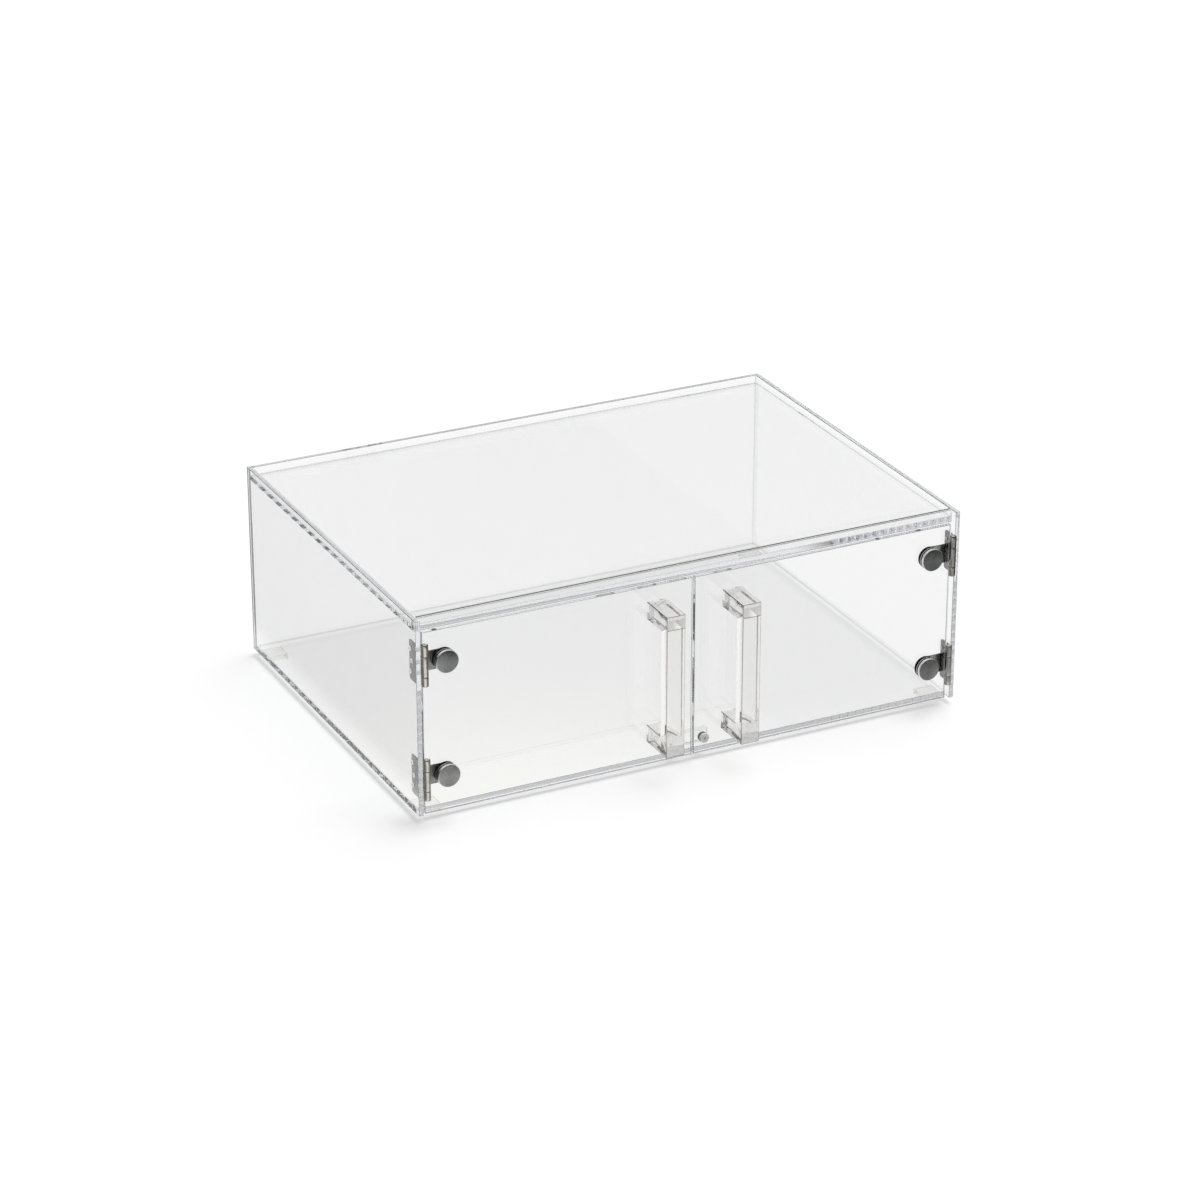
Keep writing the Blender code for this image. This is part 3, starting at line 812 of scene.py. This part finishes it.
class DISPLAYCASE_OT_handles(bpy.types.Operator):
    """Make the two clear bar handles with polished round edges"""

    bl_idname = "displaycase.handles"
    bl_label = "Handles"

    def execute(self, context):
        look = context.scene.case_bar
        bar = stored("clear_bar", clear_material, look)
        # The rounded edges pass the darker tint of painted shade.
        edge = {"roughness": 0.15, "marks": SAW_MARK, "face_tint": look.rounded_edge_shade}
        rounding = stored("bar_edge", clear_material, look, **edge)
        for label, _ in SIDES:
            node = label + "_handle"
            low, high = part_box(node)
            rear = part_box(label + "_door_panel")[0].y + look.handle_bond
            grip_back = low.y + look.handle_grip
            leg_top, leg_bottom = low.z + look.handle_leg, high.z - look.handle_leg
            points = [(low.y, low.z), (rear, low.z), (rear, leg_top), (grip_back, leg_top)]
            points += [(grip_back, leg_bottom), (rear, leg_bottom), (rear, high.z), (low.y, high.z)]
            side_on = Matrix(((0, 0, 1, (low.x + high.x) / 2), (1, 0, 0, 0), (0, 1, 0, 0), (0, 0, 0, 1)))
            handle = drawn(label + "_bar_handle", points, high.x - low.x, side_on)
            handle.data.materials.append(bar)
            handle.data.materials.append(rounding)
            self.round_edges(handle, rear, look.handle_edge)
            place_piece(handle, label + "_door", "clear_bar", node)
        return {"FINISHED"}

    def round_edges(self, handle, rear, radius):
        """Rounds all edges but those at the glued ends of the legs."""
        mesh = handle.data
        weights = mesh.attributes.new("bevel_weight_edge", "FLOAT", "EDGE")
        for edge in mesh.edges:
            front = min(mesh.vertices[index].co.y for index in edge.vertices)
            weights.data[edge.index].value = 0.0 if front > rear - radius else 1.0
        edges = handle.modifiers.new("edges", "BEVEL")
        edges.width = radius
        edges.segments = 4
        edges.limit_method = "WEIGHT"
        edges.material = 1
        settle(handle)
        soften_shading(handle)


class DISPLAYCASE_OT_feet(bpy.types.Operator):
    """Finish the four clear feet"""

    bl_idname = "displaycase.feet"
    bl_label = "Feet"

    def execute(self, context):
        look = context.scene.case_bar
        sawn = {"roughness": 0.05, "marks": SAW_MARK, "density": look.foot_density}
        material = stored("foot_bar", clear_material, look, **sawn)
        for end in ("front", "rear"):
            for label, _ in SIDES:
                dress(end + "_" + label + "_foot", material)
        return {"FINISHED"}


class DISPLAYCASE_OT_hinges(bpy.types.Operator):
    """Finish the hinge leaves and arms, with smooth rolled knuckles over their barrels and black rings of
    painted shade in the gaps between knuckles
    """

    bl_idname = "displaycase.hinges"
    bl_label = "Hinge Leaves and Arms"

    def execute(self, context):
        look = context.scene.case_steel
        plate = stored("hinge_plate", steel_material, look.plate, roughness=0.22, grains=BRUSHED)
        leaf = stored("hinge_leaf", steel_material, look.leaf, roughness=0.2, grains=BRUSHED)
        barrel = stored("hinge_barrel", barrel_material, look)
        gap = look.knuckle_gap
        gap_shades, bottoms, tops = [], [], []
        for label, _ in SIDES:
            body = label + "_door"
            middles = []
            for level in LEVELS:
                prefix = label + "_" + level
                dress(prefix + "_leaf", leaf)
                dress(prefix + "_arm", plate)
                axis = middle_of(prefix + "_pin")
                low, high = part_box(prefix + "_leaf")
                cut_low = low.z + look.bottom_share * (high.z - low.z)
                cut_high = high.z - look.top_share * (high.z - low.z)
                bottoms.append(((axis.x, axis.y, low.z), UPRIGHT))
                tops.append(((axis.x, axis.y, cut_high), UPRIGHT))
                middles.append(((axis.x, axis.y, cut_low + gap), UPRIGHT))
                for height in (cut_low + gap / 2, cut_high - gap / 2):
                    gap_shades.append(((axis.x, axis.y, height), UPRIGHT))
            radius = (high.x - low.x) / 2 + look.sleeve_lift
            sleeve = self.sleeve(cut_high - cut_low - 2 * gap, radius, look.sleeve_end)
            place_piece(repeated(body + "_knuckles", sleeve, middles, barrel), body, "hinge_steel")
        for name, long, spots in (("bottom", cut_low - low.z, bottoms), ("top", high.z - cut_high, tops)):
            sleeve = self.sleeve(long, radius, look.sleeve_end)
            place_piece(repeated(name + "_knuckles", sleeve, spots, barrel), "case", "hinge_steel")
        # Painted shade: thin black rings in the gaps between knuckles, in the rubber material.
        half, wide = look.gap_shade_thickness / 2, radius - 0.0001
        collar = turned("collar", [(0.0, half), (wide, half), (wide, -half), (0.0, -half)], KNUCKLE_STEPS)
        made = repeated("knuckle_collars", collar, gap_shades, rubber_and_shade_material(look))
        place_piece(made, "case", "black_rubber")
        return {"FINISHED"}

    def sleeve(self, long, radius, end):
        wall, turns = 0.0012, (0.5, 1.05, 1.57)
        profile = [(radius - wall, 0.0), (radius - end, 0.0)]
        profile += [(radius - end * (1 - math.sin(t)), end * (1 - math.cos(t))) for t in turns]
        profile += [(r, long - z) for r, z in reversed(profile)]
        return turned("sleeve", profile, KNUCKLE_STEPS)


class DISPLAYCASE_OT_tapped_holes(bpy.types.Operator):
    """Make the frosted tapped holes that the leaf screws leave in the sides"""

    bl_idname = "displaycase.tapped_holes"
    bl_label = "Tapped Holes"

    def execute(self, context):
        look = context.scene.case_steel
        # The frost glows as painted light.
        skin = {"roughness": 0.5, "grain_size": 0.0005, "depth": 0.0001, "painted_glow": look.frost_painted_glow}
        frost = stored("frost", matte_material, look.frost, **skin)
        spots, sunk = [], 0.0001
        for label, side, node in leaf_screws():
            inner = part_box(label + "_side_panel")[1 if side < 0 else 0].x
            middle = middle_of(node)
            start = (inner + side * sunk, middle.y, middle.z)
            spots.append((start, (0.0, math.radians(90.0 * side), 0.0)))
        wide, deep, core, thread, turns = look.hole_width / 2, look.hole_depth, 0.00104, 0.0003, 5
        narrow, pitch = wide - thread, deep / turns
        profile = [(core, 0.0), (wide, 0.0)]
        for turn in range(turns):
            profile += [(wide, (turn + 0.3) * pitch), (narrow, (turn + 0.8) * pitch)]
        profile += [(narrow, deep), (core, deep)]
        made = repeated("tapped_holes", turned("hole", profile, HOLE_STEPS), spots, frost)
        place_piece(made, "case", "clear_acrylic")
        return {"FINISHED"}


class DISPLAYCASE_OT_pins(bpy.types.Operator):
    """Make the hinge pins with domed heads"""

    bl_idname = "displaycase.pins"
    bl_label = "Hinge Pins"

    def execute(self, context):
        look = context.scene.case_steel
        nodes = [label + "_" + level + "_pin" for label, _ in SIDES for level in LEVELS]
        low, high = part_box(nodes[0])
        half, head = (high.z - low.z) / 2, (high.x - low.x) / 2
        radius, rise = 0.0014, 0.0006
        dome = ((0.0, 0.0), (0.45, 0.1), (0.8, 0.4), (1.0, 0.85), (1.0, 1.0))
        profile = [(head * out, half - rise * down) for out, down in dome] + [(radius, half - rise)]
        profile += [(r, -h) for r, h in reversed(profile)]
        spots = [(middle_of(node), UPRIGHT) for node in nodes]
        pins = repeated("hinge_pins", turned("pin", profile, SCREW_STEPS), spots, screw_material(look))
        place_piece(pins, "case", "screw_steel", *nodes)
        return {"FINISHED"}


class DISPLAYCASE_OT_screws(bpy.types.Operator):
    """Make the leaf screws with crossed heads"""

    bl_idname = "displaycase.screws"
    bl_label = "Leaf Screws"

    def execute(self, context):
        look = context.scene.case_steel
        nodes, places = [], []
        for _, side, node in leaf_screws():
            low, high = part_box(node)
            middle = (low + high) / 2
            top = high.x if side < 0 else low.x
            nodes.append(node)
            places.append(((top, middle.y, middle.z), (0.0, math.radians(-90.0 * side), 0.0)))
        low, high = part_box(nodes[0])
        head, long = (high.y - low.y) / 2, high.x - low.x
        rim, shank, point = 0.0007, 0.001, 0.0004
        profile = [(0.0, 0.0), (head * 0.55, -0.00006), (head * 0.85, -0.00025), (head, 0.0001 - rim)]
        profile += [(head, -rim), (shank, -rim), (shank, point - long), (shank * 0.6, -long), (0.0, -long)]
        screw = turned("screw", profile, SCREW_STEPS)
        reach, half, deep, above = head * 0.62, look.recess_width / 2, look.recess_depth, 0.001
        first = box_object("cross_x", (-reach, -half, -deep), (reach, half, above))
        second = box_object("cross_y", (-half, -reach, -deep * 1.02), (half, reach, above * 1.1))
        combine(screw, first, "DIFFERENCE")
        combine(screw, second, "DIFFERENCE")
        screws = repeated("leaf_screws", screw, places, screw_material(look), spin=math.pi, seed=4)
        place_piece(screws, "case", "screw_steel", *nodes)
        return {"FINISHED"}


class DISPLAYCASE_OT_clamps(bpy.types.Operator):
    """Make the clamp discs with their washers and pale rings"""

    bl_idname = "displaycase.clamps"
    bl_label = "Clamp Discs and Washers"

    def execute(self, context):
        look = context.scene.case_steel
        steel = stored("disc_steel", disc_material, look)
        pale = stored("seat_ring", steel_material, look.frost, roughness=0.4, grains=EVEN_GRAIN)
        for label, _ in SIDES:
            body = label + "_door"
            nodes = [label + "_" + level + "_disc" for level in LEVELS]
            made = repeated(label + "_clamp_discs", self.disc(nodes[0], look), facing_front(nodes), steel)
            place_piece(made, body, "hinge_steel", *nodes)
            for kind, width, ring in (
                ("outer", look.outer_washer, look.seat_ring),
                ("inner", look.inner_washer, 0.0),
            ):
                nodes = [label + "_" + level + "_" + kind + "_washer" for level in LEVELS]
                spots = facing_front(nodes)
                low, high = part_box(nodes[0])
                size = (width / 2, high.y - low.y, ring, look.round_steps)
                washer = self.washer(kind, *size)
                made = repeated(label + "_" + kind + "_washers", washer, spots, rubber_and_shade_material(look))
                place_piece(made, body, "black_rubber", *nodes)
                if ring:
                    made = repeated(label + "_seat_rings", self.seat(*size), spots, pale)
                    place_piece(made, body, "clear_bar")
        return {"FINISHED"}

    def disc(self, node, look):
        low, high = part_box(node)
        radius, long, stud = (high.z - low.z) / 2, high.y - low.y, 0.002
        thick, chamfer = look.disc_thickness, look.disc_chamfer
        broken = ((1.6, 0.0), (1.3, 0.1), (1.0, 0.2), (0.3, 0.7), (0.0, 1.3))
        profile = [(0.0, 0.0)] + [(radius - chamfer * i, -chamfer * d) for i, d in broken]
        profile += [(radius, -thick + chamfer * 0.4), (radius - chamfer * 0.4, -thick)]
        profile += [(stud, -thick), (stud, -long), (0.0, -long)]
        return turned("disc", profile, look.round_steps)

    def washer(self, name, radius, thick, ring, steps):
        """A washer that leaves room for a ring behind it."""
        corner = min(0.0003, thick / 4)
        profile = [(WASHER_BORE, 0.0), (radius - corner, 0.0), (radius - corner * 0.3, -corner * 0.3)]
        profile += [(radius, -corner), (radius, ring - thick), (WASHER_BORE, ring - thick)]
        return turned(name, profile, steps)

    def seat(self, radius, thick, ring, steps):
        """The ring behind a washer, just clear of it."""
        wide, start = radius + 0.0002, ring - thick - 0.00002
        profile = [(WASHER_BORE, start), (wide, start), (wide, -thick), (WASHER_BORE, -thick)]
        return turned("seat", profile, steps)


class DISPLAYCASE_OT_catch(bpy.types.Operator):
    """Make the door magnets and finish their strikes and stop block"""

    bl_idname = "displaycase.catch"
    bl_label = "Magnets and Stop"

    def execute(self, context):
        look = context.scene.case_steel
        skin = {"roughness": 0.32, "grain_size": 0.0006, "depth": 0.00004}
        grey = stored("magnet_coat", matte_material, look.magnet, **skin)
        for label, _ in SIDES:
            node = label + "_magnet"
            low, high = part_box(node)
            radius, long = (high.z - low.z) / 2, high.y - low.y
            spot = facing_front([node])
            made = repeated(label + "_magnet_cap", self.cap(radius, long), spot, grey)
            place_piece(made, label + "_door", "magnet_grey", node)
            # Painted shade: a black band round the side of each magnet cap stands for the shade on that side.
            wide, inner, start = radius + 0.0002, radius - 0.0001, -0.0026
            profile = [(inner, start), (wide, start), (wide, -long), (inner, -long)]
            band = turned("band", profile, KNUCKLE_STEPS)
            made = repeated(label + "_magnet_collar", band, spot, rubber_and_shade_material(look))
            place_piece(made, label + "_door", "black_rubber")
            dress(label + "_strike", screw_material(look))
        dress("stop_block", sheet_materials(context.scene.case_sheet)[FACE])
        return {"FINISHED"}

    def cap(self, radius, long):
        """A round cap with a hole in its middle and a fine groove round it."""
        bore, deep, flare, groove, rim = 0.0012, 0.003, 0.0002, 0.00015, 0.0004
        profile = [(0.0, -deep), (bore, -deep), (bore, -flare), (bore + flare, 0.0), (radius * 0.62, 0.0)]
        profile += [(radius * 0.66, -groove), (radius * 0.70, 0.0), (radius - rim, 0.0)]
        profile += [(radius - rim * 0.3, -rim * 0.3), (radius, -rim), (radius, -long), (0.0, -long)]
        return turned("cap", profile, KNUCKLE_STEPS)


class DISPLAYCASE_OT_stage(bpy.types.Operator):
    """Build the floor, the light and the camera"""

    bl_idname = "displaycase.stage"
    bl_label = "Stage"

    def execute(self, context):
        look = context.scene.case_stage
        self.floor(look)
        self.sky(context, look)
        self.lamp(context, look)
        self.camera(context, look)
        context.scene.view_settings.view_transform = "Standard"
        paths = context.scene.cycles
        paths.max_bounces = 96
        paths.glossy_bounces = 96
        paths.transmission_bounces = 96
        paths.transparent_max_bounces = 32
        return {"FINISHED"}

    def floor(self, look):
        """A white floor; clear sheet shows it in softly bounded greys, with painted light and shade in some
        areas.
        """
        bm = bmesh.new()
        bmesh.ops.create_grid(bm, x_segments=2, y_segments=2, size=look.floor_size)
        material, tree, output = new_material("studio_floor")
        added = maths(tree, "MULTIPLY", seen_rays(tree), look.floor_glow)
        direct = self.lit_floor(tree, look.floor_colour, added)
        veiled = self.lit_floor(tree, look.veil_floor, look.veil_level)
        where = tree.nodes.new("ShaderNodeTexCoord").outputs["Object"]
        place = add(tree, "ShaderNodeSeparateXYZ", Vector=where).outputs
        # Painted light: a warm, brighter pool on the floor at the front left, seen in clear sheet.
        warm_light = emission(tree, look.warm_light_level, look.warm_light_tint)
        veiled = mixed_shader(tree, between(tree, place, WARM_LIGHT_AREA), veiled, warm_light)
        # Painted shadow: a darker floor on the left of the case, seen in clear sheet.
        left = emission(tree, look.side_shadow_level)
        veiled = mixed_shader(tree, between(tree, place, LEFT_SHADOW_AREA), veiled, left)
        path = tree.nodes.new("ShaderNodeLightPath").outputs
        # Light that is mirrored more often than this has been guided along an edge.
        free_bounces = 5.5
        guided = maths(tree, "GREATER_THAN", path["Glossy Depth"], free_bounces)
        mirrored = maths(tree, "MAXIMUM", path["Is Reflection Ray"], guided)
        # Painted shade: darker floor in reflections, in front of the doors, on the right and far in front.
        for level, area in (
            (look.front_shade_level, FRONT_SHADE_AREA),
            (look.dark_level, RIGHT_SHADE_AREA),
            (look.dark_level, FAR_FRONT_SHADE_AREA),
        ):
            share = maths(tree, "MULTIPLY", between(tree, place, area), mirrored)
            veiled = mixed_shader(tree, share, veiled, emission(tree, level))
        shown = mixed_shader(tree, mirrored_rays(tree), direct, veiled)
        tree.links.new(shown, output.inputs["Surface"])
        object_of("studio_floor", mesh_of("studio_floor", bm), [material])

    def lit_floor(self, tree, colour, added):
        """A matte floor with an added glow."""
        matte = add(tree, "ShaderNodeBsdfDiffuse", Color=rgba(colour)).outputs[0]
        return add(tree, "ShaderNodeAddShader", i0=matte, i1=emission(tree, added)).outputs[0]

    def sky(self, context, look):
        """An even sky for light; in reflections the room is grey, and dark behind the camera."""
        world = bpy.data.worlds.new("studio")
        context.scene.world = world
        world.use_nodes = True
        tree = world.node_tree
        tree.nodes.clear()
        output = tree.nodes.new("ShaderNodeOutputWorld")
        where = tree.nodes.new("ShaderNodeTexCoord").outputs["Generated"]
        way = add(tree, "ShaderNodeSeparateXYZ", Vector=where).outputs
        level = look.room_level
        for other, edge in (
            (look.upper_level, ("Z", 0.15, 0.4)),
            (look.overhead_level, ("Z", 0.6, 0.8)),
            (look.dark_level, ("Y", -0.05, -0.35)),
        ):
            level = remap(tree, between(tree, way, (edge,)), wanted=(level, other))
        seen = add(tree, "ShaderNodeBackground", Strength=level).outputs[0]
        light = add(tree, "ShaderNodeBackground", Strength=look.sky_level).outputs[0]
        tree.links.new(mixed_shader(tree, mirrored_rays(tree), light, seen), output.inputs["Surface"])

    def lamp(self, context, look):
        """One wide lamp, which is itself never seen in the plastic."""
        light = bpy.data.lights.new("key_lamp", "SUN")
        light.energy = look.key_level
        light.angle = look.key_size
        holder = bpy.data.objects.new("key_lamp", light)
        context.scene.collection.objects.link(holder)
        holder.rotation_euler = Vector(look.key_way).to_track_quat("-Z", "Y").to_euler()
        holder.visible_glossy = False
        holder.visible_transmission = False

    def camera(self, context, look):
        turn, rise = look.azimuth, look.elevation
        back = Vector((math.sin(turn) * math.cos(rise), -math.cos(turn) * math.cos(rise), math.sin(rise)))
        right = Vector((math.cos(turn), math.sin(turn), 0.0))
        up = back.cross(right)
        underside = Vector((0.0, middle_of("left_side_panel").y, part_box("left_side_panel")[0].z))
        aside, above = 0.001018, 0.066876
        target = underside + right * aside + up * above
        data = bpy.data.cameras.new("photo_camera")
        data.sensor_width = 36.0
        data.lens = look.lens
        data.clip_end = 100.0
        camera = bpy.data.objects.new("photo_camera", data)
        context.scene.collection.objects.link(camera)
        facing = Matrix((right, up, back)).transposed().to_4x4()
        camera.matrix_world = Matrix.Translation(target + back * look.distance) @ facing
        context.scene.camera = camera


class DISPLAYCASE_PT_panel(bpy.types.Panel):
    """Settings and pieces of the display case"""

    bl_label = "Display Case"
    bl_idname = "DISPLAYCASE_PT_panel"
    bl_space_type = "VIEW_3D"
    bl_region_type = "UI"
    bl_category = "Display Case"

    def draw(self, context):
        for name, kind in SETTINGS:
            box = self.layout.box()
            box.label(text=kind.__doc__)
            for key in kind.__annotations__:
                box.prop(getattr(context.scene, name), key)
        for operator in OPERATORS:
            self.layout.operator(operator.bl_idname)


SETTINGS = (
    ("case_sheet", ClearSheetSettings),
    ("case_bar", ClearBarSettings),
    ("case_steel", SteelSettings),
    ("case_stage", StageSettings),
)
OPERATORS = (
    DISPLAYCASE_OT_case,
    DISPLAYCASE_OT_doors,
    DISPLAYCASE_OT_handles,
    DISPLAYCASE_OT_feet,
    DISPLAYCASE_OT_hinges,
    DISPLAYCASE_OT_tapped_holes,
    DISPLAYCASE_OT_pins,
    DISPLAYCASE_OT_screws,
    DISPLAYCASE_OT_clamps,
    DISPLAYCASE_OT_catch,
    DISPLAYCASE_OT_stage,
)
CLASSES = tuple(kind for _, kind in SETTINGS) + OPERATORS + (DISPLAYCASE_PT_panel,)


def register():
    for cls in CLASSES:
        bpy.utils.register_class(cls)
    for name, kind in SETTINGS:
        setattr(bpy.types.Scene, name, PointerProperty(type=kind))


def unregister():
    for name, _ in SETTINGS:
        delattr(bpy.types.Scene, name)
    for cls in reversed(CLASSES):
        bpy.utils.unregister_class(cls)


def main():
    register()
    bpy.ops.displaycase.case()
    bpy.ops.displaycase.doors()
    bpy.ops.displaycase.handles()
    bpy.ops.displaycase.feet()
    bpy.ops.displaycase.hinges()
    bpy.ops.displaycase.tapped_holes()
    bpy.ops.displaycase.pins()
    bpy.ops.displaycase.screws()
    bpy.ops.displaycase.clamps()
    bpy.ops.displaycase.catch()
    bpy.ops.displaycase.stage()


if __name__ == "__main__":
    main()
